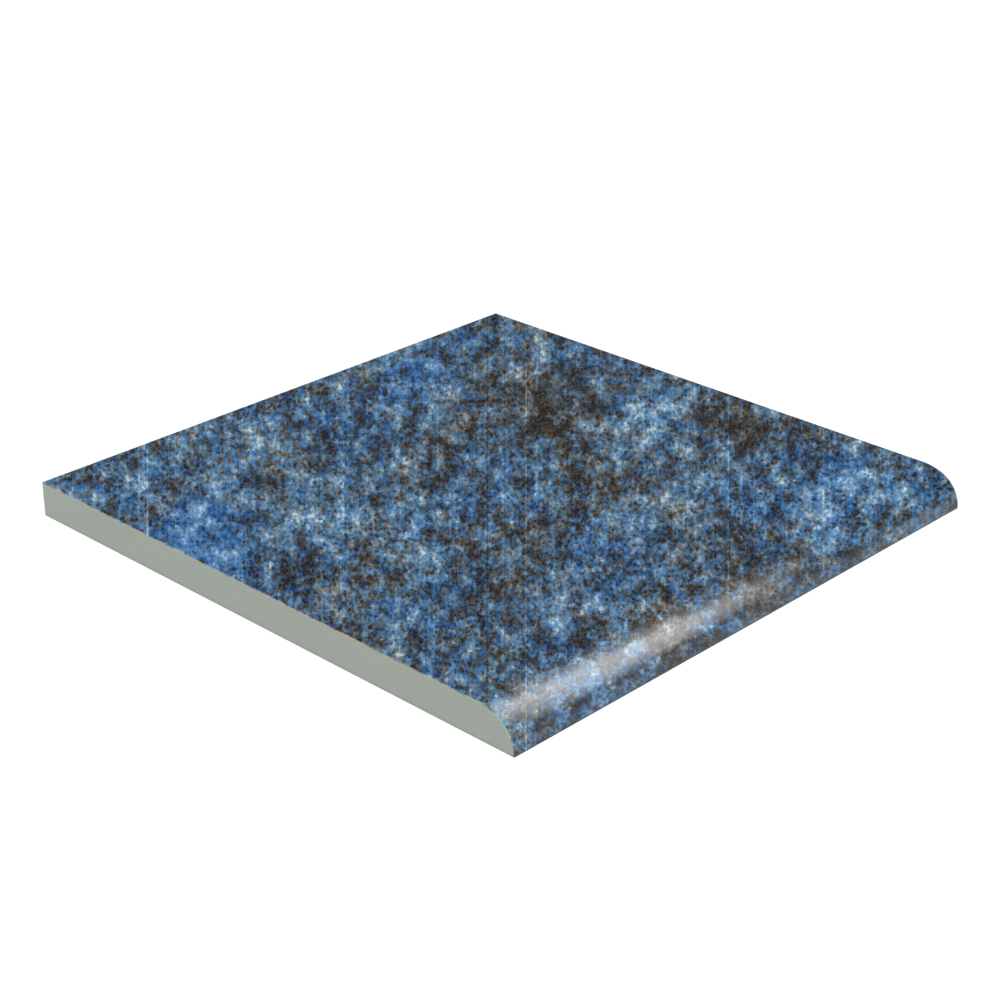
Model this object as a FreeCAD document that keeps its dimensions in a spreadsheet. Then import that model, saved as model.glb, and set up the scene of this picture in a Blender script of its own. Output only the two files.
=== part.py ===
"""Bullnose floor tile: one pressed and fired piece, glazed over its face and its rounded front edge.

Frame: millimetres, +Z up, origin at the middle of the footprint on the floor side.
The rounded nose faces -Y and runs along X. The other three edges are plain butt edges.
"""
import FreeCAD, Part
import math
import os
import Sketcher

DIMENSIONS = [
    ("tile_width", 150.0, "along the nose"),
    ("tile_depth", 150.0, "from the foot of the nose to the back edge"),
    ("tile_thickness", 8.6, "floor side to glazed face"),
    ("nose_reach", 10.4, "how far back from the front the rounding starts"),
    ("nose_turn", 65.0, "degrees that the lower arc turns before the upper, flatter one takes over"),
    ("arris_radius", 0.4, "soft edge of the glazed face on the three butt sides"),
    ("back_border", 10.0, "solid margin round the recesses in the floor side"),
    ("rib_width", 4.0, "rib left between two recesses"),
    ("recess_depth", 0.9, "how deep the mortar recesses are"),
    ("recess_corner", 2.0, "corner radius of a recess at its mouth"),
    ("recess_draft", 25.0, "degrees that the recess walls lean, so that the press die lets go"),
    ("recesses_across", 6, "number of recesses along X"),
    ("recesses_deep", 6, "number of recesses along Y"),
]

# How a sketch constraint names the points of a line or an arc, the sketch's origin and its two axes
START, END, CENTRE = range(1, 4)
SKETCH_ORIGIN = (-1, START)
X_AXIS, Y_AXIS = range(-1, -3, -1)

UPWARDS = FreeCAD.Vector(0, 0, 1)
TOLERANCE = 1e-4
CUBIC_MM_PER_CUBIC_CM = 1000


def make_dimensions(doc):
    """The sheet of driving dimensions: a name, a number and a note in each row."""
    sheet = doc.addObject("Spreadsheet::Sheet", "dims")
    for row, (name, value, note) in enumerate(DIMENSIONS, start=1):
        sheet.set(f"A{row}", name)
        sheet.set(f"B{row}", str(value))
        sheet.set(f"C{row}", note)
        sheet.setAlias(f"B{row}", name)
    doc.recompute()
    return sheet


def new_sketch(body, name, plane_role):
    """An empty sketch on one of the body's own origin planes."""
    sketch = body.newObject("Sketcher::SketchObject", name)
    plane = next(f for f in body.Origin.OriginFeatures if f.Role == plane_role)
    sketch.AttachmentSupport = [(plane, "")]
    sketch.MapMode = "FlatFace"
    return sketch


def drive(sketch, name, constraint, formula):
    """Adds a named dimension to the sketch and ties it to the sheet."""
    index = sketch.addConstraint(constraint)
    sketch.renameConstraint(index, name)
    sketch.setExpression(f"Constraints.{name}", formula)


def draw_section(sketch, sheet):
    """The section across the nose: floor line, back edge, face, and the nose as two tangent arcs.

    Sketch X is the tile's Y and sketch Y is its Z. The nose leaves the floor upright, turns
    through nose_turn on its lower arc, and runs out level with the face on a larger upper arc.
    The two radii follow from height, reach and turn.
    """
    height = sheet.tile_thickness
    reach = sheet.nose_reach
    turn = math.radians(sheet.nose_turn)
    sine, cosine = math.sin(turn), math.cos(turn)
    share = sine * cosine - (1 - sine) * (1 - cosine)
    lower_radius = (height * cosine - reach * (1 - sine)) / share
    upper_radius = (reach * sine - height * (1 - cosine)) / share
    front, back = -sheet.tile_depth / 2, sheet.tile_depth / 2

    foot = FreeCAD.Vector(front, 0, 0)
    heel = FreeCAD.Vector(back, 0, 0)
    crest = FreeCAD.Vector(back, height, 0)
    shoulder = FreeCAD.Vector(front + reach, height, 0)
    lower_centre = FreeCAD.Vector(front + lower_radius, 0, 0)
    upper_centre = FreeCAD.Vector(front + reach, height - upper_radius, 0)
    handover = lower_centre + FreeCAD.Vector(-cosine, sine, 0) * lower_radius

    floor_line = sketch.addGeometry(Part.LineSegment(foot, heel))
    back_line = sketch.addGeometry(Part.LineSegment(heel, crest))
    face_line = sketch.addGeometry(Part.LineSegment(crest, shoulder))
    upper_circle = Part.Circle(upper_centre, UPWARDS, upper_radius)
    upper_arc = sketch.addGeometry(Part.ArcOfCircle(upper_circle, math.pi / 2, math.pi - turn))
    lower_circle = Part.Circle(lower_centre, UPWARDS, lower_radius)
    lower_arc = sketch.addGeometry(Part.ArcOfCircle(lower_circle, math.pi - turn, math.pi))
    turn_line = sketch.addGeometry(Part.LineSegment(lower_centre, handover), True)

    sketch.addConstraint([
        Sketcher.Constraint("Coincident", floor_line, END, back_line, START),
        Sketcher.Constraint("Coincident", back_line, END, face_line, START),
        Sketcher.Constraint("PointOnObject", floor_line, START, X_AXIS),
        Sketcher.Constraint("Symmetric", floor_line, START, floor_line, END, Y_AXIS),
        Sketcher.Constraint("Vertical", back_line),
        Sketcher.Constraint("Horizontal", face_line),
        Sketcher.Constraint("Tangent", face_line, END, upper_arc, START),
        Sketcher.Constraint("Tangent", upper_arc, END, lower_arc, START),
        Sketcher.Constraint("Coincident", lower_arc, END, floor_line, START),
        Sketcher.Constraint("PointOnObject", lower_arc, CENTRE, X_AXIS),
        Sketcher.Constraint("Coincident", turn_line, START, lower_arc, CENTRE),
        Sketcher.Constraint("Coincident", turn_line, END, upper_arc, END),
    ])
    drive(sketch, "depth", Sketcher.Constraint("DistanceX", floor_line, START, floor_line, END, 2 * back),
          "dims.tile_depth * 1mm")
    drive(sketch, "thickness", Sketcher.Constraint("DistanceY", back_line, START, back_line, END, height),
          "dims.tile_thickness * 1mm")
    drive(sketch, "reach", Sketcher.Constraint("DistanceX", floor_line, START, face_line, END, reach),
          "dims.nose_reach * 1mm")
    drive(sketch, "turn", Sketcher.Constraint("Angle", floor_line, START, turn_line, START, math.pi - turn),
          "(180 - dims.nose_turn) * 1deg")


def recess_size(span, count, sheet):
    """One recess, in numbers: what the borders and the ribs leave of a span, shared among the recesses."""
    return (span - 2 * sheet.back_border - (count - 1) * sheet.rib_width) / count


def recess_formula(span, count):
    """The same size as an expression on the sheet, which keeps the sketch tied to it."""
    return f"((dims.{span} - 2 * dims.back_border - (dims.{count} - 1) * dims.rib_width) / dims.{count})"


def grid_extent_formula(span, count):
    """From the first recess to the last, measured between like corners."""
    return f"(dims.{span} - 2 * dims.back_border - {recess_formula(span, count)}) * 1mm"


def draw_recess(sketch, sheet):
    """One recess with rounded corners, in the corner of the floor side nearest the -X end of the nose."""
    corner = sheet.recess_corner
    width = recess_size(sheet.tile_width, sheet.recesses_across, sheet)
    length = recess_size(sheet.tile_depth, sheet.recesses_deep, sheet)
    left = sheet.back_border - sheet.tile_width / 2
    front = sheet.back_border - sheet.tile_depth / 2
    right, back = left + width, front + length
    quarter = math.pi / 2

    def side(x1, y1, x2, y2):
        return sketch.addGeometry(Part.LineSegment(FreeCAD.Vector(x1, y1, 0), FreeCAD.Vector(x2, y2, 0)))

    def round_off(x, y, quarters):
        circle = Part.Circle(FreeCAD.Vector(x, y, 0), UPWARDS, corner)
        return sketch.addGeometry(Part.ArcOfCircle(circle, quarters * quarter, (quarters + 1) * quarter))

    ring = [
        side(left + corner, front, right - corner, front),
        round_off(right - corner, front + corner, 3),
        side(right, front + corner, right, back - corner),
        round_off(right - corner, back - corner, 0),
        side(right - corner, back, left + corner, back),
        round_off(left + corner, back - corner, 1),
        side(left, back - corner, left, front + corner),
        round_off(left + corner, front + corner, 2),
    ]
    for this, following in zip(ring, ring[1:] + ring[:1]):
        sketch.addConstraint(Sketcher.Constraint("Tangent", this, END, following, START))
    front_side, right_side, back_side, left_side = ring[0::2]
    corners = ring[1::2]
    sketch.addConstraint(Sketcher.Constraint("Horizontal", front_side))
    sketch.addConstraint(Sketcher.Constraint("Horizontal", back_side))
    sketch.addConstraint(Sketcher.Constraint("Vertical", right_side))
    sketch.addConstraint(Sketcher.Constraint("Vertical", left_side))
    for other in corners[1:]:
        sketch.addConstraint(Sketcher.Constraint("Equal", corners[0], other))
    drive(sketch, "corner", Sketcher.Constraint("Radius", corners[0], corner), "dims.recess_corner * 1mm")
    drive(sketch, "width", Sketcher.Constraint("DistanceX", left_side, START, right_side, START, width),
          recess_formula("tile_width", "recesses_across") + " * 1mm")
    drive(sketch, "length", Sketcher.Constraint("DistanceY", front_side, START, back_side, START, length),
          recess_formula("tile_depth", "recesses_deep") + " * 1mm")
    drive(sketch, "inset_x", Sketcher.Constraint("DistanceX", left_side, START, *SKETCH_ORIGIN, -left),
          "(dims.tile_width / 2 - dims.back_border) * 1mm")
    drive(sketch, "inset_y", Sketcher.Constraint("DistanceY", front_side, START, *SKETCH_ORIGIN, -front),
          "(dims.tile_depth / 2 - dims.back_border) * 1mm")


def press_slab(body, sheet):
    """The plain tile: the section carried along the nose, evenly to both sides of the middle."""
    section = new_sketch(body, "section", "YZ_Plane")
    draw_section(section, sheet)
    slab = body.newObject("PartDesign::Pad", "slab")
    slab.Profile = section
    slab.SideType = "Symmetric"
    slab.setExpression("Length", "dims.tile_width * 1mm")
    body.Document.recompute()
    return slab


def press_recesses(body, sheet):
    """The floor side's grid of shallow recesses, which the mortar keys into."""
    outline = new_sketch(body, "recess_outline", "XY_Plane")
    draw_recess(outline, sheet)
    recess = body.newObject("PartDesign::Pocket", "recess")
    recess.Profile = outline
    recess.Reversed = True
    recess.setExpression("Length", "dims.recess_depth * 1mm")
    recess.setExpression("TaperAngle", "-dims.recess_draft * 1deg")
    body.Document.recompute()

    grid = body.newObject("PartDesign::LinearPattern", "recess_grid")
    grid.Originals = [recess]
    grid.Direction = (outline, ["H_Axis"])
    grid.Direction2 = (outline, ["V_Axis"])
    grid.Mode = grid.Mode2 = "Extent"
    grid.setExpression("Length", grid_extent_formula("tile_width", "recesses_across"))
    grid.setExpression("Length2", grid_extent_formula("tile_depth", "recesses_deep"))
    grid.setExpression("Occurrences", "dims.recesses_across")
    grid.setExpression("Occurrences2", "dims.recesses_deep")
    body.Tip = grid
    body.Document.recompute()
    return grid


def soften_arris(body, base, sheet):
    """Softens the rim of the glaze: the back and both ends of the face, and both end curves of the nose."""
    def on_rim(edge):
        box = edge.BoundBox
        on_face = box.ZMin > sheet.tile_thickness - TOLERANCE
        reaches_back = box.YMax > sheet.tile_depth / 2 - TOLERANCE
        is_nose_end = isinstance(edge.Curve, Part.Circle) and abs(edge.Curve.Axis.x) > 1 - TOLERANCE
        return is_nose_end or (on_face and reaches_back)

    rim = [f"Edge{number}" for number, edge in enumerate(base.Shape.Edges, start=1) if on_rim(edge)]
    arris = body.newObject("PartDesign::Fillet", "arris")
    arris.Base = (base, rim)
    arris.setExpression("Radius", "dims.arris_radius * 1mm")
    body.Tip = arris
    body.Document.recompute()
    return arris


def make_tile(doc, sheet):
    """The whole tile as one body."""
    body = doc.addObject("PartDesign::Body", "bullnose_tile")
    body.Label = "bullnose_tile"
    slab = press_slab(body, sheet)
    grid = press_recesses(body, sheet)
    arris = soften_arris(body, grid, sheet)
    report_volumes(slab, grid, arris)
    return body


def report_volumes(slab, grid, arris):
    """Each cut has to take something away, so the volumes are printed and compared."""
    volumes = [step.Shape.Volume for step in (slab, grid, arris)]
    print("volumes in cubic centimetres:", [round(v / CUBIC_MM_PER_CUBIC_CM, 3) for v in volumes])
    if not volumes[0] > volumes[1] > volumes[2]:
        raise RuntimeError(f"a cut removed nothing: {volumes}")


def check(doc, bodies):
    """Stops if anything in the document failed, or a body isn't one sound solid."""
    failed = [o.Name for o in doc.Objects if "Invalid" in o.State or "Error" in o.State]
    if failed:
        raise RuntimeError(f"these did not compute: {failed}")
    for body in bodies:
        shape = body.Shape
        if shape.isNull() or not shape.isValid() or len(shape.Solids) != 1:
            raise RuntimeError(f"{body.Label} is not one valid solid")


def main():
    doc = FreeCAD.newDocument("bullnose_floor_tile")
    sheet = make_dimensions(doc)
    bodies = [make_tile(doc, sheet)]
    doc.recompute()
    check(doc, bodies)
    os.makedirs("parts", exist_ok=True)
    for body in bodies:
        body.Shape.exportStep(os.path.join("parts", body.Label + ".step"))
        box = body.Shape.optimalBoundingBox()
        print(body.Label, [round(side, 3) for side in (box.XLength, box.YLength, box.ZLength)],
              "faces:", len(body.Shape.Faces))


main()
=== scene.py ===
# %% [markdown]
# Bullnose floor tile, dressed for the camera
#
# The real tile is one pressed piece of clay, fired with a mottled blue glaze over its face and over one
# rounded edge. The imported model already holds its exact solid, so this lesson never changes a size. It lays
# a finer skin of the same shape over that solid, gives it three finishes, and sets up a small photo studio.
# The frame is read first, because every later length is measured from it.

import bmesh
import bpy
import numpy as np
from mathutils import Matrix, Vector


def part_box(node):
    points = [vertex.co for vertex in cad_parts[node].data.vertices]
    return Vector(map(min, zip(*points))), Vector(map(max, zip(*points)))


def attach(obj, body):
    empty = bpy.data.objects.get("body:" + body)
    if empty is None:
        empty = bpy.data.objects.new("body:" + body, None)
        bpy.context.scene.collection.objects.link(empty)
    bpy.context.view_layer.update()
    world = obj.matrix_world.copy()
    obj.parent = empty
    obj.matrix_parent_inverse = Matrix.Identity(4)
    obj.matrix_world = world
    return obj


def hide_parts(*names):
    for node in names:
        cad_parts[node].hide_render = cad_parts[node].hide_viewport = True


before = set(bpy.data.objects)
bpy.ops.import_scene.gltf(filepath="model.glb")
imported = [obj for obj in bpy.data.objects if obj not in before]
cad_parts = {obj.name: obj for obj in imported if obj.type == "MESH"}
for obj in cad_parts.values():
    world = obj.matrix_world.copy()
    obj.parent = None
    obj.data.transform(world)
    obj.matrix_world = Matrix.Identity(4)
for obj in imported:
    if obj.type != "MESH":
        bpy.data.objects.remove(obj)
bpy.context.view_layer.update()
lowest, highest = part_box("bullnose_tile")
print("tile from", tuple(lowest), "to", tuple(highest))

# %% [markdown]
# The driving sizes
#
# Width, depth and thickness come from the frame. The few sizes that a box can't tell, such as how far back
# the rounding starts, are the ones that the tile was designed with, so they are written once, here.

# %% Name the sizes
MM = 0.001
half_width = highest.x
thickness = highest.z
foot_y = lowest.y
back_y = highest.y

nose_reach = 10.4 * MM
nose_turn = np.radians(65)
arris_radius = 0.4 * MM
recess_count = 6
back_border = 10 * MM
rib_width = 4 * MM
recess_depth = 0.9 * MM
recess_corner = 2 * MM

# %% [markdown]
# The nose's curve
#
# The nose isn't a quarter circle: a tight lower arc stands on the floor and a flatter one runs into the
# face. Two arcs that touch smoothly are described by the angle that the surface's normal leans forward from
# straight up. With that one number the whole curve, and its normals, are a formula instead of a list.

# %% Work out the two radii of the nose
turn_sine, turn_cosine = np.sin(nose_turn), np.cos(nose_turn)
share = turn_sine * turn_cosine - (1 - turn_sine) * (1 - turn_cosine)
lower_radius = (thickness * turn_cosine - nose_reach * (1 - turn_sine)) / share
upper_radius = (nose_reach * turn_sine - thickness * (1 - turn_cosine)) / share
changeover = np.pi / 2 - nose_turn
face_start_y = foot_y + nose_reach
print(f"nose radii {lower_radius / MM:.2f} and {upper_radius / MM:.2f} mm")


def nose_curve(lean):
    """Points (y, z) where the normal leans forward by these angles.

    Each arc is its centre plus its radius times the normal (-sin lean, cos lean). Up to the changeover
    angle the upper arc holds, which hangs below the face; past it the lower arc, centred on the floor.
    """
    upper = lean <= changeover
    radius = np.where(upper, upper_radius, lower_radius)
    centre_y = np.where(upper, face_start_y, foot_y + lower_radius)
    centre_z = np.where(upper, thickness - upper_radius, 0)
    return centre_y - radius * np.sin(lean), centre_z + radius * np.cos(lean)


# %% [markdown]
# Where the rows and columns go
#
# A curved skin needs closely spaced rows only where it bends: round the nose, and on the tiny soft edge, the
# arris, that the glaze rounds over on the three plain sides. One extra row just past each bend keeps the
# smooth shading of the bend from leaking over the flat face.

# %% Space the rows and columns
NOSE_STEPS = 44
FACE_STEPS = 16
ARRIS_STEPS = 8
SUPPORT = 0.15 * MM

arris_turn = np.linspace(0, np.pi / 2, ARRIS_STEPS + 1)
arris_stops = np.append(arris_radius * (1 - np.cos(arris_turn)), arris_radius + SUPPORT)
edge_stops = half_width - arris_stops
inner_columns = np.linspace(-edge_stops[-1], edge_stops[-1], FACE_STEPS)
columns = np.concatenate([-edge_stops[:-1], inner_columns, edge_stops[-2::-1]])

lean = np.linspace(np.pi / 2, 0, NOSE_STEPS + 1)
nose_y, nose_z = nose_curve(lean)
flat_y = np.linspace(face_start_y + SUPPORT, back_y - arris_stops[-1], FACE_STEPS)
row_y = np.concatenate([nose_y, flat_y, back_y - arris_stops[-2::-1]])
row_z = np.concatenate([nose_z, np.full(row_y.size - nose_z.size, thickness)])
row_lean = np.concatenate([lean, np.zeros(row_y.size - lean.size)])
row_length = np.append(0, np.cumsum(np.hypot(np.diff(row_y), np.diff(row_z))))
print(row_y.size, "rows by", columns.size, "columns")

# %% [markdown]
# Sheets of points
#
# Every side of the tile is one sheet: a table of points, the faces between them, a place on a flat map, and
# the finish that it takes. A grid of points turns into four-sided faces by plain index arithmetic, so no
# loop ever touches a single vertex. The flat map keeps true lengths, which lets a baked picture of the glaze
# be as sharp as it can be. The glaze has most of that map, because it has nearly all of the detail.

# %% Make grids into sheets
GLAZE, BODY, BED = range(3)
MAP_SIDE = 186 * MM
STRIP_SCALE = 0.8
BED_SCALE = 0.21
MAP_GAP = 1.2 * MM


def grid_faces(rows, across):
    """Four-sided faces of a grid: each joins a point to its neighbours one column and one row on."""
    index = np.arange(rows * across).reshape(rows, across)
    return np.stack([index[:-1, :-1], index[:-1, 1:], index[1:, 1:], index[1:, :-1]], -1).reshape(-1, 4)


def flat_place(u, v, corner, scale=1.0):
    """Place on the bake map: the sheet's own lengths, scaled, moved to a corner, as a share of the map."""
    return (np.stack([u, v], -1) * scale + corner) / MAP_SIDE


def grid_sheet(points, u, v, corner, scale, finish):
    """A sheet from a table of points and the lengths along its two directions."""
    rows, across = points.shape[:2]
    places = flat_place(*np.broadcast_arrays(u, v), corner, scale)
    return points.reshape(-1, 3), grid_faces(rows, across).tolist(), places.reshape(-1, 2), finish


# %% [markdown]
# The glazed skin
#
# The skin is the nose's curve and the flat face carried along the tile's width. Near an edge it sinks inwards
# along its own normal by a quarter circle. Where two edges meet, the deeper of the two wins, which gives the
# neat mitre that a pressed tile has at its back corners.

# %% Carry the profile along the width
def arris_drop(distance):
    """How far the skin sinks at this distance from an edge: the quarter circle of the arris radius."""
    inward = np.clip(arris_radius - distance, 0, None)
    return arris_radius - np.sqrt(arris_radius**2 - inward**2)


def skin_points(drop):
    """The profile at every column, moved inwards along the normal (0, -sin lean, cos lean) by the drop."""
    x, y = np.broadcast_arrays(columns[None, :], row_y[:, None])
    y = y + np.sin(row_lean)[:, None] * drop
    z = row_z[:, None] - np.cos(row_lean)[:, None] * drop
    return np.stack([x, y, z], -1)


end_drop = arris_drop(half_width - np.abs(columns))[None, :]
back_drop = arris_drop(back_y - row_y)[:, None]
skin = skin_points(np.maximum(end_drop, back_drop))
map_corner = np.array([half_width + MAP_GAP, MAP_GAP])
sheets = [grid_sheet(skin, columns[None, :], row_length[:, None], map_corner, 1.0, GLAZE)]
print("skin of", skin.shape[0] * skin.shape[1], "points")

# %% [markdown]
# The bare edges
#
# The two ends and the back are the raw clay that the press left. Each is ruled: straight lines run from the
# rim of the glaze down to the floor. A first row close under the rim keeps these faces flat to the eye.

# %% Rule the ends and the back
rim_y, rim_z = skin[:, 0, 1], skin[:, 0, 2]
ledge_drop = arris_radius + SUPPORT
ledge_y = row_y + np.sin(row_lean) * ledge_drop
ledge_z = row_z - np.cos(row_lean) * ledge_drop
ruled = np.linspace(1, 0, 4)[:, None]
strip_v = row_length[-1] + 2 * MAP_GAP


def strip_corner(number):
    """Where an edge's strip lies on the bake map: above the glaze, each strip over the one before it."""
    return np.array([half_width + MAP_GAP, strip_v + number * (thickness * STRIP_SCALE + MAP_GAP)])


def end_points(x):
    """An end face: the rim, a ledge just inside it, then rows scaled down to the floor under the ledge."""
    y = np.vstack([rim_y, np.broadcast_to(ledge_y, (ruled.size, ledge_y.size))])
    z = np.vstack([rim_z, ledge_z * ruled])
    return np.stack([np.full_like(y, x), y, z], -1)


for number, side in enumerate((-1, 1)):
    points = end_points(side * half_width)
    places = strip_corner(number)
    sheets.append(grid_sheet(points, points[..., 1], points[..., 2], places, STRIP_SCALE, BODY))

back_z = np.append(rim_z[-1], (thickness - ledge_drop) * ruled)[:, None]
back_x, back_rows = np.broadcast_arrays(columns[None, :], back_z)
back = np.stack([back_x, np.full_like(back_x, back_y), back_rows], -1)
sheets.append(grid_sheet(back, back_x, back_rows, strip_corner(2), STRIP_SCALE, BODY))
print("the first row of the ends lies", round(ledge_drop / MM, 2), "mm inside the profile")

# %% [markdown]
# The bedding side
#
# Underneath, the press leaves shallow square recesses that key into the mortar. All are alike, so one cell
# is worked out as a few closed rings, from its square border over the recess's rounded mouth and down the
# sloping wall. The wall's depth follows the S-shaped smoothstep curve, which rounds its rim and its foot.

# %% Work out one recess
CORNER_STEPS = 6
SIDE_POINTS = 3
WALL_STEPS = 6
wall_run = 0.68 * MM
recess_half = ((2 * half_width - 2 * back_border + rib_width) / recess_count - rib_width) / 2
cell_half = recess_half + rib_width / 2
corner_turn = np.linspace(0, np.pi / 2, CORNER_STEPS + 1)


def full_ring(arc):
    """A closed ring from the arc of its first corner: straight side points follow, then three more turns."""
    side_share = np.arange(1, SIDE_POINTS + 1)[:, None] / (SIDE_POINTS + 1)
    end = arc[-1]
    side = end + side_share * (end * (-1, 1) - end)
    quarter = np.vstack([arc, side])
    turns = np.arange(4) * np.pi / 2
    spin = np.array([[np.cos(turns), np.sin(turns)], [-np.sin(turns), np.cos(turns)]])
    return np.einsum("pk,kjt->tpj", quarter, spin).reshape(-1, 2)


def mouth_ring(inset):
    """The recess's outline moved inwards: its straight half side and its corner radius both shrink."""
    centre = recess_half - recess_corner
    radius = recess_corner - inset
    return full_ring(centre + radius * np.stack([np.cos(corner_turn), np.sin(corner_turn)], -1))


def border_ring():
    """The cell's square border, met by rays from the centre of the recess's corner arc."""
    centre = recess_half - recess_corner
    ray = np.stack([np.cos(corner_turn), np.sin(corner_turn)], -1)
    reach = (cell_half - centre) / ray.max(axis=1, keepdims=True)
    return full_ring(centre + reach * ray)


inset = np.linspace(0, 1, WALL_STEPS + 1)
depth = recess_depth * inset**2 * (3 - 2 * inset)
rings = np.stack([border_ring()] + [mouth_ring(step * wall_run) for step in inset])
ring_z = np.broadcast_to(np.append(0, depth)[:, None], rings.shape[:2])
ring_size = rings.shape[1]
print(rings.shape[0], "rings of", ring_size, "points")

# %% [markdown]
# All the recesses
#
# The same cell stands under the whole tile, in even rows. Its points are repeated by adding a table of
# offsets, and its faces by adding each copy's first point number to them, so all copies cost two additions.

# %% Repeat it over the bedding side
cell_places = (np.arange(recess_count) - (recess_count - 1) / 2) * 2 * cell_half
cell_x, cell_y = np.meshgrid(cell_places, cell_places)
offsets = np.stack([cell_x.ravel(), cell_y.ravel(), np.zeros(recess_count**2)], -1)
one_cell = np.concatenate([rings, ring_z[..., None]], -1).reshape(-1, 3)
cells = (one_cell[None] + offsets[:, None]).reshape(-1, 3)

ring_index = np.arange(one_cell.shape[0]).reshape(rings.shape[:2])
next_index = np.roll(ring_index, -1, axis=1)
wall_faces = np.stack([ring_index[:-1], next_index[:-1], next_index[1:], ring_index[1:]], -1).reshape(-1, 4)
starts = np.arange(recess_count**2)[:, None] * one_cell.shape[0]
cell_faces = (wall_faces[None] + starts[:, None]).reshape(-1, 4).tolist()
cell_faces += (ring_index[-1][None] + starts).tolist()

bed_left = 2 * half_width + 2 * MAP_GAP
bed_corner = np.array([bed_left, MAP_GAP]) + half_width * BED_SCALE


def bed_sheet(points, faces):
    """A sheet of the bedding side: its map is the plan of the tile itself."""
    return points, faces, flat_place(points[:, 0], points[:, 1], bed_corner, BED_SCALE), BED


sheets.append(bed_sheet(cells, cell_faces))

# %% [markdown]
# The border
#
# A flat border is left between the outermost recesses and the edges of the tile. It is four flat faces, one
# to a side. Each runs out along the edge that it meets and back along the recesses, through every point that
# is there already, so that the tile can be welded without a gap.

# %% Fill the border between the recesses and the edges
border = rings[0]
side_x = np.unique(np.round(border[np.isclose(border[:, 1], -cell_half), 0], 9))
grid_line = np.unique(np.round((cell_places[:, None] + side_x[None]).ravel(), 9))
grid_half = recess_count * cell_half

outer_front = skin[0, :, :2]
outer_back = np.stack([columns, np.full_like(columns, back_y)], -1)
end_y = np.append(rim_y[0], ledge_y)
outer_left = np.stack([np.full_like(end_y, -half_width), end_y], -1)
outer_right = outer_left * (-1, 1)
inner = [
    np.stack([grid_line, np.full_like(grid_line, -grid_half)], -1),
    np.stack([grid_line, np.full_like(grid_line, grid_half)], -1),
    np.stack([np.full_like(grid_line, -grid_half), grid_line], -1),
    np.stack([np.full_like(grid_line, grid_half), grid_line], -1),
]
for outside, inside in zip((outer_front, outer_back, outer_left, outer_right), inner):
    outline = np.vstack([outside, inside[::-1]])
    outline = np.column_stack([outline, np.zeros(len(outline))])
    sheets.append(bed_sheet(outline, [list(range(len(outline)))]))
print(len(sheets), "sheets,", len(cell_faces), "faces under the tile")

# %% [markdown]
# One closed mesh
#
# The sheets share their outlines point for point, so welding the points that coincide closes the tile. The
# weld comes first and the normals after it, because Blender can tell inside from outside only on a closed
# mesh. Edges that turn sharply are marked, so the arris shades softly and the plain edges stay crisp.

# %% Weld the sheets into the tile
WELD = 0.001 * MM
SHARP = np.radians(40)


def weld_sheets(name, parts):
    """One closed mesh from sheets, with a finish index on each face and the flat places as its map."""
    shifts = np.cumsum([0] + [len(part[0]) for part in parts])
    points = np.vstack([part[0] for part in parts])
    places = np.vstack([part[2] for part in parts])
    faces = [[i + shift for i in face] for part, shift in zip(parts, shifts) for face in part[1]]
    finish = np.concatenate([np.full(len(part[1]), part[3]) for part in parts])
    mesh = bpy.data.meshes.new(name)
    mesh.from_pydata(points, [], faces)
    mesh.polygons.foreach_set("material_index", finish)
    corners = np.empty(len(mesh.loops), int)
    mesh.loops.foreach_get("vertex_index", corners)
    mesh.uv_layers.new(name="OFBake").data.foreach_set("uv", places[corners].ravel())
    welded = bmesh.new()
    welded.from_mesh(mesh)
    bmesh.ops.remove_doubles(welded, verts=welded.verts, dist=WELD)
    bmesh.ops.recalc_face_normals(welded, faces=welded.faces)
    open_edges = sum(not edge.is_manifold for edge in welded.edges)
    welded.to_mesh(mesh)
    welded.free()
    mesh.shade_smooth()
    mesh.set_sharp_from_angle(angle=SHARP)
    print(name, len(mesh.polygons), "faces, edges left open:", open_edges)
    return mesh


tile = bpy.data.objects.new("glazed_tile", weld_sheets("glazed_tile", sheets))
bpy.context.scene.collection.objects.link(tile)
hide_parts("bullnose_tile")
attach(tile, "root")

# %% [markdown]
# Shader maths as plain expressions
#
# A material is a small program. Wiring it node by node hides what it says, so a short class wraps an output
# socket: adding or multiplying two of them lays down the Math node that does it. Any other node comes from
# one method, which sets a node's options first and its sockets after them, as Blender itself needs. Colours
# are written as a paint program shows them, and the screen's own curve turns them into light.

# %% Wrap a socket
class Field:
    """A value that varies over a surface: one output socket, with the arithmetic that adds Math nodes."""

    def __init__(self, finish, socket):
        self.finish, self.socket = finish, socket

    def math(self, operation, *others, swap=False):
        """A Math node on this value and others; swapped, this value comes last."""
        terms = (*others, self) if swap else (self, *others)
        return self.finish.node("ShaderNodeMath", {"operation": operation}, dict(enumerate(terms)))

    def __add__(self, other):
        return self.math("ADD", other)

    def __radd__(self, other):
        return self.math("ADD", other, swap=True)

    def __sub__(self, other):
        return self.math("SUBTRACT", other)

    def __rsub__(self, other):
        return self.math("SUBTRACT", other, swap=True)

    def __mul__(self, other):
        return self.math("MULTIPLY", other)

    def __rmul__(self, other):
        return self.math("MULTIPLY", other, swap=True)


# %% Wrap a material
def from_screen(red, green, blue):
    """A colour as a paint program shows it, 0 to 255, turned into the light values that Blender mixes.

    The standard screen curve: dark values are divided by 12.92, brighter ones follow a power of 2.4.
    """
    seen = np.array([red, green, blue]) / 255
    light = np.where(seen <= 0.04045, seen / 12.92, ((seen + 0.055) / 1.055) ** 2.4)
    return (*light.tolist(), 1.0)


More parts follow.
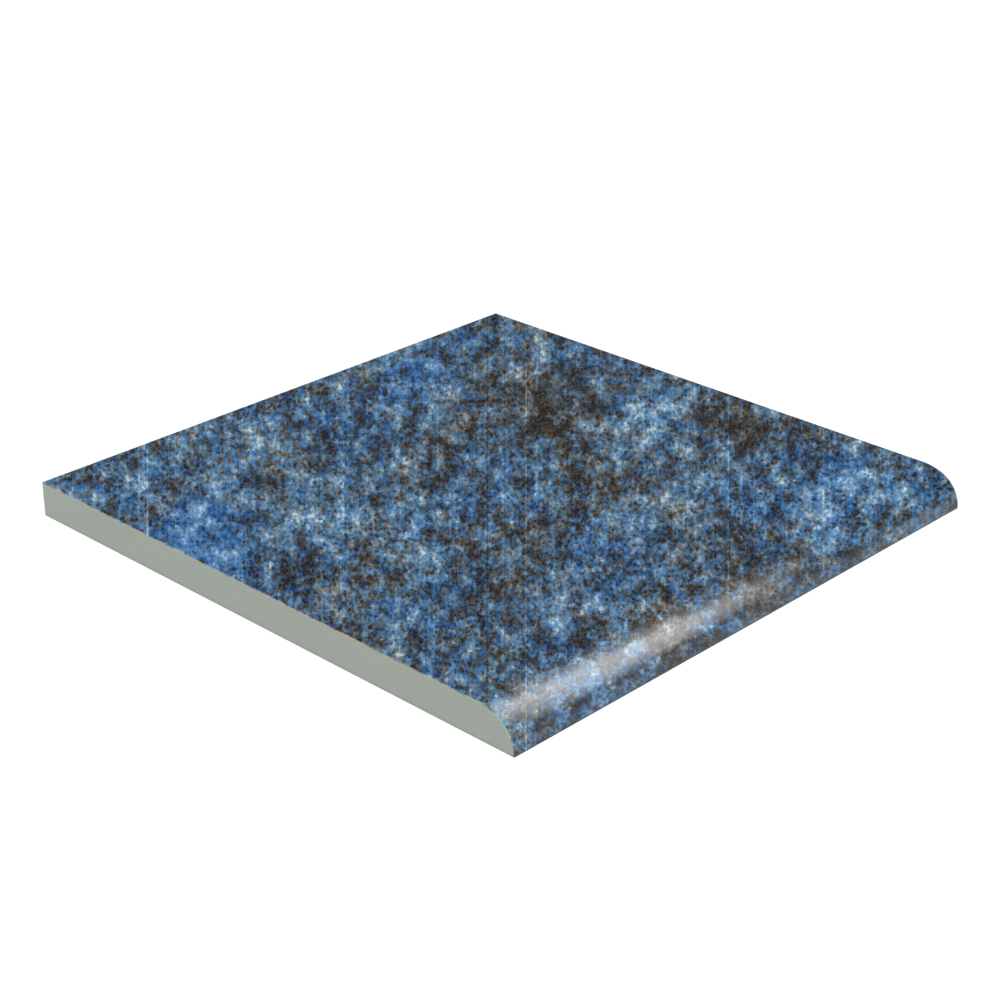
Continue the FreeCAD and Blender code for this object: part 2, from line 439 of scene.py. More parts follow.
class Finish:
    """A node tree with one way of adding nodes: a type, its settings, then what its sockets take."""

    def __init__(self, owner):
        owner.use_nodes = True
        self.tree = owner.node_tree
        self.tree.nodes.clear()

    def node(self, kind, settings=None, inputs=None, output=None):
        """A new node, and the output that is asked for, or else its first."""
        made = self.tree.nodes.new(kind)
        for name, value in (settings or {}).items():
            if name == "stops":
                self.set_stops(made.color_ramp.elements, value)
            else:
                setattr(made, name, value)
        for name, value in (inputs or {}).items():
            socket = self.find(made.inputs, name)
            if isinstance(value, Field):
                self.tree.links.new(value.socket, socket)
            else:
                socket.default_value = value
        shown = [socket for socket in made.outputs if socket.enabled]
        return Field(self, self.find(made.outputs, output) if output else (shown or [None])[0])

    @staticmethod
    def find(sockets, name):
        """A socket by its number, its name or its identifier, among those in use."""
        if isinstance(name, int):
            return sockets[name]
        return next(s for s in sockets if name in (s.identifier, s.name) and s.enabled)

    @staticmethod
    def set_stops(elements, stops):
        """Give a colour ramp its stops, each a position and a colour."""
        while len(elements) < len(stops):
            elements.new(0.5)
        for element, (position, colour) in zip(elements, stops):
            element.position, element.color = position, colour

    def noise(self, place, size, detail=0.0, roughness=0.5, shift=(0, 0, 0), **settings):
        """Soft noise about zero, in blots of this size, from its own part of the endless pattern."""
        moved = self.vector("ADD", place, shift)
        sockets = {"Vector": moved, "Scale": 1 / size, "Detail": detail, "Roughness": roughness}
        return self.node("ShaderNodeTexNoise", settings, sockets, "Fac") - 0.5

    def vector(self, operation, first, second, output=None, extra=None):
        """A Vector Math node on two vectors, or on three."""
        sockets = {0: first, 1: second} if extra is None else {0: first, 1: second, 2: extra}
        return self.node("ShaderNodeVectorMath", {"operation": operation}, sockets, output)

    def ramp(self, value, stops):
        """The colour at this value along the stops."""
        return self.node("ShaderNodeValToRGB", {"stops": stops}, {"Fac": value}, "Color")

    def mix(self, share, first, second, blend="MIX"):
        """Two colours mixed: the second shows by the share."""
        sockets = {"Factor_Float": share, "A_Color": first, "B_Color": second}
        return self.node("ShaderNodeMix", {"data_type": "RGBA", "blend_type": blend}, sockets, "Result_Color")

    def remap(self, value, low, high, to_low=0.0, to_high=1.0):
        """The value carried from one range to another by a soft S-shaped curve, held at both ends."""
        settings = {"interpolation_type": "SMOOTHSTEP"}
        sockets = {"Value": value, "From Min": low, "From Max": high, "To Min": to_low, "To Max": to_high}
        return self.node("ShaderNodeMapRange", settings, sockets, "Result")

    def axis(self, vector, letter):
        """One coordinate of a vector: X, Y or Z."""
        return self.node("ShaderNodeSeparateXYZ", inputs={"Vector": vector}, output=letter)


# %% [markdown]
# The plane that the mottle lies in
#
# The mottle of the real glaze is drawn out along the tile's diagonal, about twice as long as it is wide, and
# fine pinstripes run the same way. So the pattern has its own two directions: one across the diagonal, and
# one along it that also counts height. Counting height carries the pattern round the nose without a seam. The
# grain and the stripes also fan out a little towards the back corner, so their plane is divided by a spread.

# %% Lay out the pattern's two directions
ACROSS = (0.694, -0.720, 0.0)
ALONG = (0.313, 0.302, 0.900)
FAN_START = (0.72, -2.7, 0.0)
SPREAD = (1.26, 1.21, -0.84)


def pattern_planes(finish):
    """The place, then two maps of it in millimetres, across and along the grain: the even one, and the fan.

    The fan is (even + its start) / (1 + place . spread).
    """
    place = finish.node("ShaderNodeTexCoord", output="Object")
    across = finish.vector("DOT_PRODUCT", place, tuple(a / MM for a in ACROSS), "Value")
    along = finish.vector("DOT_PRODUCT", place, tuple(a / MM for a in ALONG), "Value")
    even = finish.node("ShaderNodeCombineXYZ", inputs={"X": across, "Y": along})
    wider = finish.vector("DOT_PRODUCT", place, SPREAD, "Value") + 1
    moved = finish.vector("ADD", even, FAN_START)
    widening = finish.node("ShaderNodeCombineXYZ", inputs={"X": wider, "Y": wider, "Z": 1.0})
    return place, even, finish.vector("DIVIDE", moved, widening)


# %% [markdown]
# Where the glaze drifts dark, pale, blue or rusty
#
# Over several centimetres the glaze drifts: a dark trail comes down from the back corner, the left corner is
# bluer, and pale clouds lie between. Noise alone would put these anywhere, so each is a soft round spot. Its
# place was read off a blurred view of the tile: across and along the grain and its size, in
# millimetres. Its strength was tried out: what it adds to the lightness and to the rust.
# The plane is shaken by noise first, which frays the spots' round outlines: a shake has the noise's scale,
# its detail and its reach. The two sums are plain numbers, not a vector, because a long chain of vectors can
# overflow the renderer's memory for one material, and the tile then turns black.

# %% Place the drifts
DRIFT_SHAKE = (1 / 7.0, 2.0, 14)
SPOT_RIM, SPOT_HEART = 1.25, 0.15
DRIFTS = (
    ("dark trail, top", -8, 29, 10, -0.14, 0.00),
    ("dark trail, head", 11, 25, 13, -0.19, 0.12),
    ("dark trail, middle", 19, 6, 9, -0.17, 0.14),
    ("dark trail, foot", 12, -6, 8, -0.13, 0.03),
    ("dark trail, left branch", -17, 12, 8, -0.07, 0.05),
    ("dark cloud, right edge", 54, 22, 11, -0.15, 0.10),
    ("dark cloud, nose", 48, -8, 11, -0.15, 0.00),
    ("dark cloud, front", -7, -16, 10, -0.11, 0.00),
    ("dark cloud, front left", -26, -18, 7, -0.09, 0.00),
    ("dark cloud, left edge", -45, -12, 9, -0.09, 0.04),
    ("dark cloud, back edge", -35, 27, 9, -0.11, 0.00),
    ("dark spot, front end", -13, -26, 7, -0.08, 0.00),
    ("dark spot, nose", 18, -22, 7, -0.09, 0.00),
    ("dark spot, far end", 73, 16, 8, -0.11, 0.00),
    ("pale cloud, back edge", -23, 37, 11, 0.10, -0.20),
    ("pale cloud, right", 33, 21, 12, 0.14, 0.02),
    ("pale cloud, right of middle", 43, 2, 8, 0.13, 0.00),
    ("pale spot, right", 51, 11, 7, 0.08, 0.02),
    ("pale cloud, far nose", 70, 1, 9, 0.13, -0.10),
    ("blue cloud, far end", 83, 8, 9, 0.10, -0.20),
    ("pale cloud, left", -42, 0, 10, 0.12, -0.08),
    ("pale cloud, left corner", -70, -1, 8, 0.10, -0.10),
    ("pale spot, left", -61, 16, 7, 0.08, 0.00),
    ("blue cloud, left edge", -65, -6, 13, 0.02, -0.34),
    ("pale spot, front", 12, -20, 7, 0.07, -0.10),
    ("rusty spot, nose", 34, -23, 8, 0.00, 0.22),
    ("rusty spot, far nose", 53, -17, 8, 0.00, 0.20),
)


def swayed(finish, plane, scale, detail, reach, middle=0.0):
    """The plane shaken by coloured noise: plane + (noise - middle) * reach, in both of its directions."""
    sockets = {"Vector": plane, "Scale": scale, "Detail": detail}
    sway = finish.node("ShaderNodeTexNoise", {"noise_dimensions": "2D"}, sockets, "Color")
    if middle:
        sway = finish.vector("SUBTRACT", sway, (middle, middle, middle))
    return finish.vector("MULTIPLY_ADD", sway, (reach, reach, 0), extra=plane)


def drift_fields(finish, plane):
    """Two soft fields, lightness and rust: each spot adds its two amounts, fading out at its size."""
    shaken = swayed(finish, plane, *DRIFT_SHAKE, middle=0.5)
    lightness, rust = 0.0, 0.0
    for name, x, y, size, lighter, rustier in DRIFTS:
        away = finish.vector("DISTANCE", shaken, (x, y, 0), "Value")
        near = finish.remap(away, size * SPOT_RIM, size * SPOT_HEART)
        if lighter:
            lightness = near.math("MULTIPLY_ADD", lighter, lightness)
        if rustier:
            rust = near.math("MULTIPLY_ADD", rustier, rust)
    return lightness, rust


# %% [markdown]
# The colours of the glaze
#
# Held close, the glaze is three families of colour run into each other: clean blues, slate greys, and rusty
# greys where iron has come through. All run from nearly black to nearly white. Slate is written down because
# blue and rust mixed as light would turn purple. The colours are those that the eye sees on the tile. The
# gloss lays a thin veil of light over everything, so the veil is taken off again.

# %% List the colours
VEIL = 0.017
LEAST_LIGHT = 0.002
GLAZE_TONES = (
    ("nearly black", 0.00, (22, 37, 54), (32, 36, 39), (41, 36, 31)),
    ("darkest", 0.15, (28, 49, 71), (42, 47, 50), (53, 46, 39)),
    ("dark", 0.25, (34, 61, 92), (50, 57, 63), (61, 55, 49)),
    ("deep", 0.40, (38, 84, 137), (61, 80, 94), (84, 75, 65)),
    ("middle", 0.50, (50, 100, 157), (71, 98, 118), (96, 92, 84)),
    ("clear", 0.60, (69, 118, 168), (85, 117, 142), (110, 111, 106)),
    ("pale", 0.75, (96, 142, 185), (111, 144, 168), (135, 139, 134)),
    ("paler", 0.85, (126, 166, 199), (143, 173, 191), (163, 169, 163)),
    ("nearly white", 1.00, (180, 212, 226), (194, 214, 216), (210, 213, 201)),
)


def unveiled(seen):
    """The glaze's own colour: the light of the colour as seen, less the veil."""
    own = np.array(from_screen(*seen)[:3]) - VEIL
    return (*np.clip(own, LEAST_LIGHT, 1).tolist(), 1.0)


blue_stops, slate_stops, rust_stops = (
    [(tone[1], unveiled(tone[family])) for tone in GLAZE_TONES] for family in (2, 3, 4)
)
print(len(GLAZE_TONES), "steps of lightness in each family of colour")

# %% [markdown]
# The grain
#
# Lightness is one field: noises of rising size, from the grains of spattered glaze over blots to clouds. Each
# row below has its size in millimetres and its weight, and is read from its own region of the endless
# pattern, so that no two of them agree. Hue is a second field, so that a grain may lean to rust or to blue
# whatever its lightness.

# %% Sum noises into a field
REGION_STEP = (31.7, 17.3)
LIGHT_SEED, HUE_SEED = 0.0, 55.3
LIGHT_NOISES = (
    ("spatter", 0.50, 0.24),
    ("grain", 0.95, 0.39),
    ("speckle", 1.9, 0.42),
    ("blots", 4.2, 0.51),
    ("clouds", 9.5, 0.24),
    ("patches", 22.0, 0.12),
)
HUE_NOISES = (
    ("spatter", 0.55, 0.62),
    ("grain", 1.05, 0.82),
    ("speckle", 2.1, 0.72),
    ("blots", 4.5, 0.40),
    ("clouds", 9.0, 0.34),
    ("patches", 20.0, 0.45),
)


def summed(finish, plane, noises, start, seed):
    """A field that starts at a value and adds each noise by its weight, every one from its own region."""
    field = start
    for number, (name, size, weight) in enumerate(noises, start=1):
        shift = (REGION_STEP[0] * number + seed, REGION_STEP[1] * number - seed, 0)
        field = finish.noise(plane, size, shift=shift, noise_dimensions="2D") * weight + field
    return field


# %% [markdown]
# Iron specks
#
# Small round specks of iron lie in the glaze and darken it. They come from Voronoi cells, one dot to a cell,
# each of its own size, and larger where the glaze is dark already. A rusty ring surrounds each, and here and
# there an ember of bare iron shows at its rim. The cells are shaken a little, so that no dot is a true disc.
# Noises that are used once, here and further on, have a small table of their own.

# %% Scatter the specks
SPECK_CELL = 1.18
SPECK_SOFTNESS = 0.10
SPECK_SPREAD, LARGEST_SPECK = 0.30, 0.38
RING_REACH = (0.34, 0.14)
EMBER_REACH = (0.26, 0.06)
EMBER_SHARE = (0.15, 0.23)
SPECK_SHAKE = (1.1, 0.0, 0.9)
SINGLE_NOISES = {
    "crowding": (5.5, 1.0, 0.6, (7.7, 61.3, 0)),
    "embers": (0.48, 0.0, 0.5, (47.1, 3.3, 0)),
    "flecks": (1.5, 2.0, 0.6, (83.9, 5.7, 0)),
    "cast": (0.5, 1.0, 0.6, (13.1, 71.9, 0)),
}


def single_noise(finish, plane, name):
    """The named noise: its size, its detail, how rough that detail is, and its region of the pattern."""
    return finish.noise(plane, *SINGLE_NOISES[name], noise_dimensions="2D")


def iron_specks(finish, plane, swell):
    """Round dots: 1 within a cell's own radius, 0 outside it. Also the ring around each, and its embers."""
    shaken = swayed(finish, plane, *SPECK_SHAKE)
    settings = {"voronoi_dimensions": "2D", "feature": "F1"}
    sockets = {"Vector": shaken, "Scale": 1 / SPECK_CELL}
    cells = finish.node("ShaderNodeTexVoronoi", settings, sockets, "Distance")
    own = Field(finish, cells.socket.node.outputs["Color"])
    chance = finish.node("ShaderNodeSeparateColor", inputs={"Color": own}, output="Red")
    edge = cells - (chance * SPECK_SPREAD + swell).math("MINIMUM", LARGEST_SPECK)
    dots = finish.remap(edge, SPECK_SOFTNESS, -SPECK_SOFTNESS)
    rings = finish.remap(edge, *RING_REACH) - dots
    broken = single_noise(finish, plane, "embers")
    return dots, rings, finish.remap(edge, *EMBER_REACH) * finish.remap(broken, *EMBER_SHARE)


# %% [markdown]
# Lines along the grain
#
# The real glaze shows faint straight lines in one direction. They come from noise that only knows the place
# across the grain, so it can't change along it. The ten clearest pinstripes stand where they do on the tile,
# measured across the grain to the nearest millimetre, each with the lightness that it adds.

# %% Draw the lines
STRIPE_HALF = 0.18
STRIPE_HEART = 0.3
HATCH_SCALE, HATCH_WEIGHT = 1.6, 0.15
PINSTRIPES = (
    ("pale, left", -84, 0.17),
    ("pale, next to it", -82, 0.17),
    ("pale, left half", -60, 0.17),
    ("dark, beside the middle", -3, -0.17),
    ("dark, middle", 1, -0.15),
    ("pale, middle", 6, 0.17),
    ("dark, right half", 34, -0.11),
    ("pale, right half", 53, 0.16),
    ("dark, right", 71, -0.16),
    ("pale, right", 75, 0.10),
)


def fine_lines(finish, fan):
    """Lightness along the grain's own direction: faint noise by the place across it, and the pinstripes."""
    across = finish.axis(fan, "X")
    sockets = {"W": across, "Scale": HATCH_SCALE, "Detail": 1.0}
    hatch = finish.node("ShaderNodeTexNoise", {"noise_dimensions": "1D"}, sockets, "Fac")
    lines = (hatch - 0.5) * HATCH_WEIGHT
    for name, stripe, strength in PINSTRIPES:
        away = (across - stripe).math("ABSOLUTE")
        lines = finish.remap(away, STRIPE_HALF, STRIPE_HALF * STRIPE_HEART) * strength + lines
    return lines


# %% [markdown]
# Where the glaze ends
#
# Glaze runs thin over an edge and gathers at its foot. On the two cut ends a hair of tan body shows through
# under the rim, and a dark teal line closes the foot of the nose. The rim at each end of the nose is painted
# turquoise: partly the thin glaze there, and partly a painted highlight along that arris. All three are only
# tenths of a millimetre wide.

# %% Tint the edges of the glaze
# The turquoise is partly thin glaze and partly a painted highlight along the arris at the nose's ends.
TURQUOISE_AND_HIGHLIGHT, TURQUOISE_HIGHLIGHT_REACH = from_screen(104, 190, 168), (0.36 * MM, 0.12 * MM)
TAN, TAN_REACH = from_screen(172, 160, 132), (0.12 * MM, 0.05 * MM)
TEAL, TEAL_REACH = from_screen(2, 72, 92), (0.45 * MM, 0.15 * MM)
PATCH_SIZE, PATCH_SHARE = 3.0 * MM, (-0.10, 0.08)
NOSE_IN, NOSE_UP = 2 * MM, (1.5 * MM, 3.5 * MM)
LEAST_TURQUOISE_HIGHLIGHT, MORE_TURQUOISE_HIGHLIGHT = 0.1, 0.7
LEAST_TAN, MORE_TAN = 0.3, 0.6
TEAL_STRENGTH = 0.9


def edge_tints(finish, place, colour):
    """The colour with its three edge lines, each a share of the distance from the edge that it follows."""
    apart = finish.axis(place, "X")
    depth = Field(finish, apart.socket.node.outputs["Y"])
    height = Field(finish, apart.socket.node.outputs["Z"])
    from_end = half_width - apart.math("ABSOLUTE")
    patchy = finish.remap(finish.noise(place, PATCH_SIZE, 3.0, 0.7), *PATCH_SHARE)
    on_nose = finish.remap(depth, face_start_y, face_start_y - NOSE_IN) * finish.remap(height, *NOSE_UP)
    # Painted highlight, partly thin glaze: the rim at each end of the nose turns turquoise.
    turquoise_and_highlight = finish.remap(from_end, *TURQUOISE_HIGHLIGHT_REACH) * on_nose
    turquoise_and_highlight = turquoise_and_highlight * (patchy * MORE_TURQUOISE_HIGHLIGHT + LEAST_TURQUOISE_HIGHLIGHT)
    colour = finish.mix(turquoise_and_highlight, colour, TURQUOISE_AND_HIGHLIGHT)
    tan = finish.remap(from_end, *TAN_REACH) * (patchy * MORE_TAN + LEAST_TAN)
    colour = finish.mix(tan, colour, TAN)
    return finish.mix(finish.remap(height, *TEAL_REACH) * TEAL_STRENGTH, colour, TEAL)


# %% [markdown]
# The finished glaze
#
# Now the fields meet. Drifts and noises sum to the ground, and dark, rusty and crowded places swell the
# specks. Specks, pale flecks and lines then change the lightness, and a painted shade darkens the glaze low
# on the nose, where the gloss mirrors the bright floor. Lightness picks a colour in each family, and the hue
# fades from blue over slate to rust. Last, every grain leans a little to green or to pink, as spattered glaze
# does.

# %% Sum the lightness and the hue
PLAIN_LIGHTNESS, LIGHT_DRIFT = 0.525, 0.9
PLAIN_HUE, HUE_DRIFT = 0.41, 1.5
PLAIN_SWELL, DARK_SWELL, RUST_SWELL, CROWD_SWELL = 0.08, 0.30, 0.25, 0.35
SPECK_DARKENS, SPECK_RUSTS, RING_RUSTS = 0.23, 0.25, 0.08
FLECK_LIGHTENS, FLECK_SHARE = 0.20, (0.10, 0.30)
# Painted shade low on the nose: its strength, and the heights where it begins and where it is full.
FOOT_PAINTED_SHADE, FOOT_SHADE_REACH = 0.08, (3.5 * MM, 0.5 * MM)

glaze = bpy.data.materials.new("mottled_blue_glaze")
mix = Finish(glaze)
place, even, fan = pattern_planes(mix)
lighter, rustier = drift_fields(mix, even)

ground = summed(mix, fan, LIGHT_NOISES, lighter * LIGHT_DRIFT + PLAIN_LIGHTNESS, LIGHT_SEED)
crowding = single_noise(mix, fan, "crowding")
swell = (0.5 - ground) * DARK_SWELL + rustier * RUST_SWELL + crowding * CROWD_SWELL + PLAIN_SWELL
dots, rings, embers = iron_specks(mix, fan, swell)
flecks = mix.remap(single_noise(mix, fan, "flecks"), *FLECK_SHARE)
# Painted shade: the glaze is darkened low on the nose, towards the floor.
foot = mix.remap(mix.axis(place, "Z"), *FOOT_SHADE_REACH)
marked = ground - dots * SPECK_DARKENS + flecks * FLECK_LIGHTENS
lightness = marked + fine_lines(mix, fan) - foot * FOOT_PAINTED_SHADE
hue = summed(mix, fan, HUE_NOISES, rustier * HUE_DRIFT + PLAIN_HUE, HUE_SEED)
hue = hue + dots * SPECK_RUSTS + rings * RING_RUSTS
print(len(mix.tree.nodes), "nodes for lightness and hue")

# %% Colour the glaze
EMBER, EMBER_STRENGTH = unveiled((152, 106, 58)), 0.32
PINKISH, GREENISH, CAST_STRENGTH = (1.13, 0.92, 1.10, 1), (0.90, 1.08, 0.90, 1), 3.4

cool = mix.mix(hue * 2, mix.ramp(lightness, blue_stops), mix.ramp(lightness, slate_stops))
colour = mix.mix(hue * 2 - 1, cool, mix.ramp(lightness, rust_stops))
colour = mix.mix(embers * EMBER_STRENGTH, colour, EMBER)
cast = single_noise(mix, fan, "cast") * CAST_STRENGTH + 0.5
colour = mix.mix(1.0, colour, mix.mix(cast, PINKISH, GREENISH), "MULTIPLY")
colour = edge_tints(mix, place, colour)

# %% [markdown]
# The gloss of the glaze
#
# Fired glaze is glass, but not a perfect mirror: it has a faint orange peel. One noise both tilts the surface
# through a Bump node and varies the roughness, so that the highlight on the nose breaks up softly.

# %% Gloss the glaze
PEEL_SIZE, PEEL_DEPTH, PEEL_STRENGTH = 1.6 * MM, 0.02 * MM, 0.12
ROUGHNESS, ROUGHNESS_CHANGE = 0.29, 0.12
GLASS_IOR = 1.5

peel = mix.noise(place, PEEL_SIZE, 2.0, 0.5)
bump = mix.node("ShaderNodeBump", inputs={"Strength": PEEL_STRENGTH, "Distance": PEEL_DEPTH, "Height": peel})
gloss = peel * ROUGHNESS_CHANGE + ROUGHNESS
skin_sockets = {"Base Color": colour, "Roughness": gloss, "IOR": GLASS_IOR, "Normal": bump}
shader = mix.node("ShaderNodeBsdfPrincipled", inputs=skin_sockets)
mix.node("ShaderNodeOutputMaterial", inputs={"Surface": shader})
print(len(mix.tree.nodes), "nodes in the glaze")

# %% [markdown]
# The fired body
#
# Where there is no glaze the tile shows its clay: a dense grey-green body with a very fine grain and tiny
# dark mineral specks, each in a shallow pit. It is nearly even, so the variation stays within a few per cent.
# The same function makes both bare finishes. The plain edges are a little darker at their foot, and the
# floor side has the pale dust of the kiln shelf on whatever stood on it.

# %% Mix the body
GRAIN_SIZE, CLOUD_SIZE, FLAW_SIZE = 0.35 * MM, 9 * MM, 0.6 * MM
CLOUD_REGION, FLAW_REGION = (0.4, 0.1, 0.7), (0.9, 0.3, 0.2)
GRAIN_WEIGHT, CLOUD_WEIGHT = 0.16, 0.10
FLAW_SHARE, FLAW_STRENGTH, FLAW_TONE = (0.20, 0.26), 0.25, from_screen(96, 92, 82)
DARKER, LIGHTER = 0.80, 1.20
# The darker band along the foot of the bare edges: the heights where it begins and where it is full, and its
# tone.
DARKER_FOOT_REACH, DARKER_FOOT_TONE = (0.7 * MM, 0.1 * MM), from_screen(112, 118, 112)
RELIEF_STRENGTH, RELIEF_DEPTH, PIT_WEIGHT = 0.35, 0.05 * MM, 0.6
CLAY_ROUGHNESS, CLAY_IOR = 0.85, 1.45


def shaded(tone, factor):
    """A colour with its light scaled by a factor."""
    return (*[light * factor for light in tone[:3]], 1)


def body_finish(name, tone, darker_foot=0.0, wash=None):
    """Bare fired clay: an even tone with fine grain and specks, and a chalky, unpolished surface."""
    material = bpy.data.materials.new(name)
    clay = Finish(material)
    place = clay.node("ShaderNodeTexCoord", output="Object")
    grain = clay.noise(place, GRAIN_SIZE, 2.0, 0.7)
    cloud = clay.noise(place, CLOUD_SIZE, 2.0, 0.5, CLOUD_REGION)
    flaws = clay.remap(clay.noise(place, FLAW_SIZE, 1.0, 0.5, FLAW_REGION), *FLAW_SHARE)
    lightness = grain * GRAIN_WEIGHT + cloud * CLOUD_WEIGHT + 0.5
    colour = clay.mix(lightness, shaded(tone, DARKER), shaded(tone, LIGHTER))
    colour = clay.mix(flaws * FLAW_STRENGTH, colour, FLAW_TONE)
    height = clay.axis(place, "Z")
    # Darker towards the bottom: the lowest part of the bare edges is mixed towards a darker tone.
    colour = clay.mix(clay.remap(height, *DARKER_FOOT_REACH) * darker_foot, colour, DARKER_FOOT_TONE)
    if wash:
        colour = wash(clay, place, colour)
    relief = grain * 1.0 - flaws * PIT_WEIGHT
    heights = {"Strength": RELIEF_STRENGTH, "Distance": RELIEF_DEPTH, "Height": relief}
    bump = clay.node("ShaderNodeBump", inputs=heights)
    sockets = {"Base Color": colour, "Roughness": CLAY_ROUGHNESS, "IOR": CLAY_IOR, "Normal": bump}
    shader = clay.node("ShaderNodeBsdfPrincipled", inputs=sockets)
    clay.node("ShaderNodeOutputMaterial", inputs={"Surface": shader})
    return material


# %% Dust the floor side and hand out the finishes
DUST_HEIGHT, DUST_STRENGTH, DUST_TONE = (0.20 * MM, 0.02 * MM), 0.35, from_screen(205, 205, 196)
DUST_SIZE, DUST_SHARE = 14 * MM, (-0.12, 0.14)


def kiln_wash(clay, place, colour):
    """The pale dust of the kiln shelf clings to what stood on it, which is all that touches the floor."""
    touches = clay.remap(clay.axis(place, "Z"), *DUST_HEIGHT)
    patchy = clay.remap(clay.noise(place, DUST_SIZE, 4.0, 0.6), *DUST_SHARE)
    return clay.mix(touches * patchy * DUST_STRENGTH, colour, DUST_TONE)


body = body_finish("fired_body", from_screen(158, 165, 157), darker_foot=0.35)
bed = body_finish("bedding_side", from_screen(156, 160, 150), wash=kiln_wash)
for material in (glaze, body, bed):
    tile.data.materials.append(material)
print("finishes:", [material.name for material in tile.data.materials])

# %% [markdown]
# The studio
#
# The floor is a very large pale sheet. Its own light is seen only by the camera and in reflections, so it
# makes the background white without adding any light to the tile, and the tile still has its soft shadow.

# %% Lay the floor
FLOOR_HALF = 30.0
floor_mesh = bpy.data.meshes.new("studio_floor")
floor_corners = np.array([(-1, -1, 0), (1, -1, 0), (1, 1, 0), (-1, 1, 0)]) * FLOOR_HALF
floor_mesh.from_pydata(floor_corners, [], [(0, 1, 2, 3)])
floor = bpy.data.objects.new("studio_floor", floor_mesh)
bpy.context.scene.collection.objects.link(floor)

GLOW = 0.55
PAPER_GREY = (0.5, 0.5, 0.5, 1)
WHITE = (1, 1, 1, 1)
paper = bpy.data.materials.new("studio_paper")
sheet = Finish(paper)
camera_ray, glossy_ray, clear_ray = (
    sheet.node("ShaderNodeLightPath", output=f"Is {ray} Ray") for ray in ("Camera", "Glossy", "Transmission")
)
strength = (camera_ray + glossy_ray + clear_ray) * GLOW
glow = sheet.node("ShaderNodeEmission", inputs={"Color": WHITE, "Strength": strength})
matt = sheet.node("ShaderNodeBsdfDiffuse", inputs={"Color": PAPER_GREY})
both = sheet.node("ShaderNodeAddShader", inputs={0: glow, 1: matt})
sheet.node("ShaderNodeOutputMaterial", inputs={"Surface": both})
floor_mesh.materials.append(paper)
print("floor", 2 * FLOOR_HALF, "m wide")

# %% [markdown]
# Standing things up
#
# Lamps and the camera all look along their own minus Z axis. One function turns any of them so that it looks
# against a direction, and so that its own top leans towards another: three crossed directions are the columns
# of its rotation.

# %% Stand a lamp or a camera
def stand(thing, place, backward, upright=(0, 0, 1)):
    """Place a thing that looks against `backward`, turned so that its own top leans towards `upright`."""
    away = Vector(backward).normalized()
    sideways = Vector(upright).cross(away).normalized()
    turn = Matrix((sideways, away.cross(sideways), away)).transposed()
    bpy.context.scene.collection.objects.link(thing)
    thing.matrix_world = Matrix.Translation(place) @ turn.to_4x4()


# %% [markdown]
# The sky
#
# The sky is bright at the horizon and straight above, and dark between the two. The flat glaze mirrors the
# dark band towards the camera, which keeps its colours deep.

# %% Paint the sky
SKY_LOW, SKY_DARK, SKY_TOP = 0.9, 0.12, 1.2
HORIZON, ZENITH = (0.05, 0.14), (0.80, 0.92)
world = bpy.data.worlds.new("studio")
bpy.context.scene.world = world
sky = Finish(world)
direction = sky.node("ShaderNodeTexCoord", output="Generated")
rise = sky.axis(direction, "Z")
sky_light = sky.remap(rise, *HORIZON, SKY_LOW, SKY_DARK) + sky.remap(rise, *ZENITH, 0.0, SKY_TOP)
background = sky.node("ShaderNodeBackground", inputs={"Color": WHITE, "Strength": sky_light})
sky.node("ShaderNodeOutputWorld", inputs={"Surface": background})

# %% [markdown]
# Two soft suns and one strip
#
# A wide sun from the front left is the window of the studio, and a wider, weaker one from behind fills the
# other sides. Neither is mirrored in the gloss, because the smear of a wide lamp would wash out the colours
# from some sides. The gloss has a lamp of its own: a narrow strip close to the nose, which lights nothing but
# gloss. Being close and narrow in its beam, its mirror image runs along the near half of the nose and fades
# out there, as it does in the photograph.

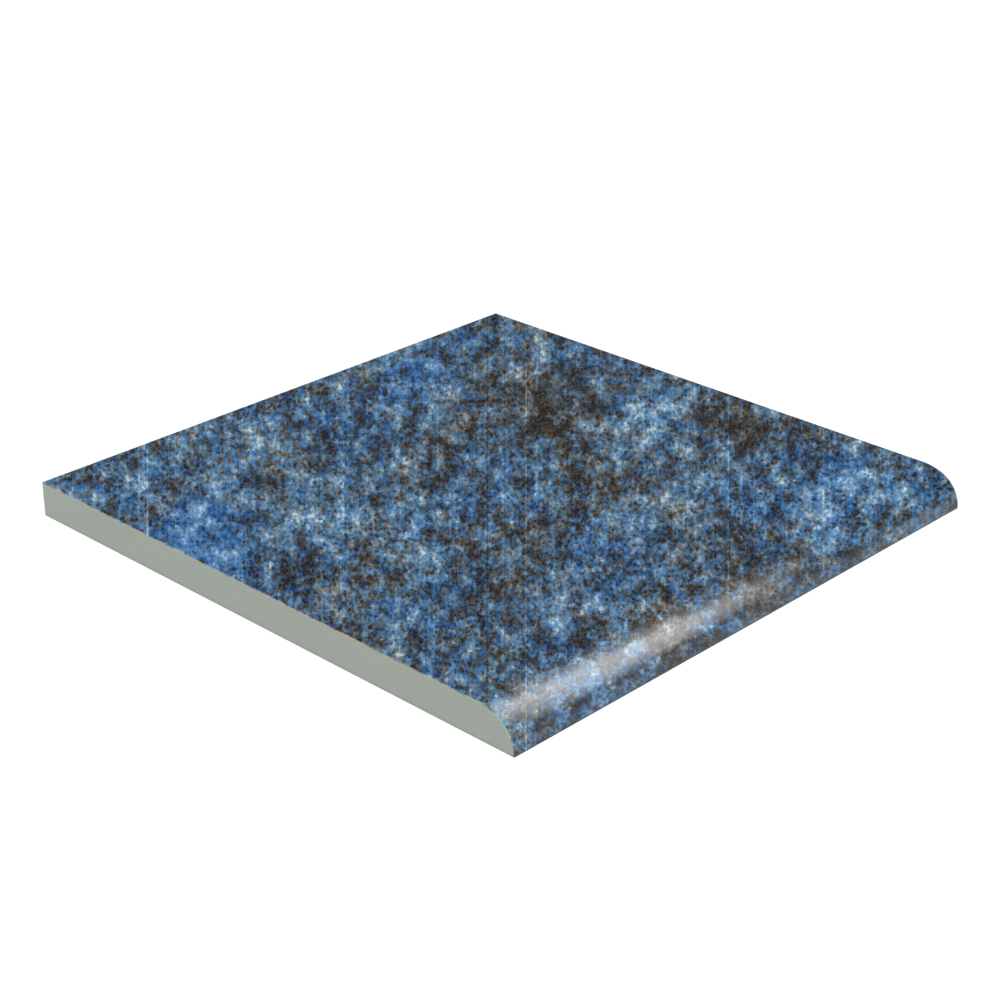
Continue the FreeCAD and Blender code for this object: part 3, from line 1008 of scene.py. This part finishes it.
# %% Light the tile
def soft_sun(name, strength, width, direction):
    """A sun as wide as this angle, in degrees, which lights the surface but isn't mirrored in its gloss."""
    light = bpy.data.lights.new(name, "SUN")
    light.energy = strength
    light.angle = np.radians(width)
    lamp = bpy.data.objects.new(name, light)
    stand(lamp, (0, 0, 0), direction)
    lamp.visible_glossy = False


soft_sun("soft_key", 2.75, 30, (-0.64, -0.42, 0.64))
soft_sun("soft_fill", 0.9, 60, (0.62, 0.66, 0.42))

# %% Hang the strip lamp
STRIP_PLACE = Vector((0.059, -0.115, 0.119))
STRIP_TARGET = Vector((-0.030, -0.070, 0.007))
STRIP_LENGTHWISE = (-0.288, 0.788, 0.546)
STRIP_WIDTH, STRIP_LENGTH = 0.053, 0.250
STRIP_BEAM = np.radians(100)
STRIP_GLOW = 3.4
strip_light = bpy.data.lights.new("strip_lamp", "AREA")
strip_light.shape = "RECTANGLE"
strip_light.size = STRIP_WIDTH
strip_light.size_y = STRIP_LENGTH
strip_light.energy = np.pi * STRIP_WIDTH * STRIP_LENGTH * STRIP_GLOW
strip_light.spread = STRIP_BEAM
strip_lamp = bpy.data.objects.new("strip_lamp", strip_light)
stand(strip_lamp, STRIP_PLACE, STRIP_PLACE - STRIP_TARGET, STRIP_LENGTHWISE)
strip_lamp.visible_diffuse = False
strip_lamp.visible_camera = False

# %% [markdown]
# The camera
#
# The lens and the place of the camera were found by fitting a pinhole camera to the tile's straight edges,
# so every edge and corner falls where the photograph has it. Its direction is two angles: the azimuth turns
# it round the tile, and the elevation is how far it looks down.

# %% Stand the camera
CAMERA_PLACE = (-0.33425, -0.32118, 0.22710)
LENS, SENSOR = 79.98, 36
NEAREST, FARTHEST = 0.01, 200
AZIMUTH, ELEVATION = np.radians(-46.046), np.radians(25.806)
level = np.array([np.sin(AZIMUTH), -np.cos(AZIMUTH)]) * np.cos(ELEVATION)
lens = bpy.data.cameras.new("camera")
lens.lens = LENS
lens.sensor_width = SENSOR
lens.clip_start = NEAREST
lens.clip_end = FARTHEST
camera = bpy.data.objects.new("camera", lens)
stand(camera, CAMERA_PLACE, (*level, np.sin(ELEVATION)))
bpy.context.scene.camera = camera
bpy.context.scene.view_settings.view_transform = "Standard"
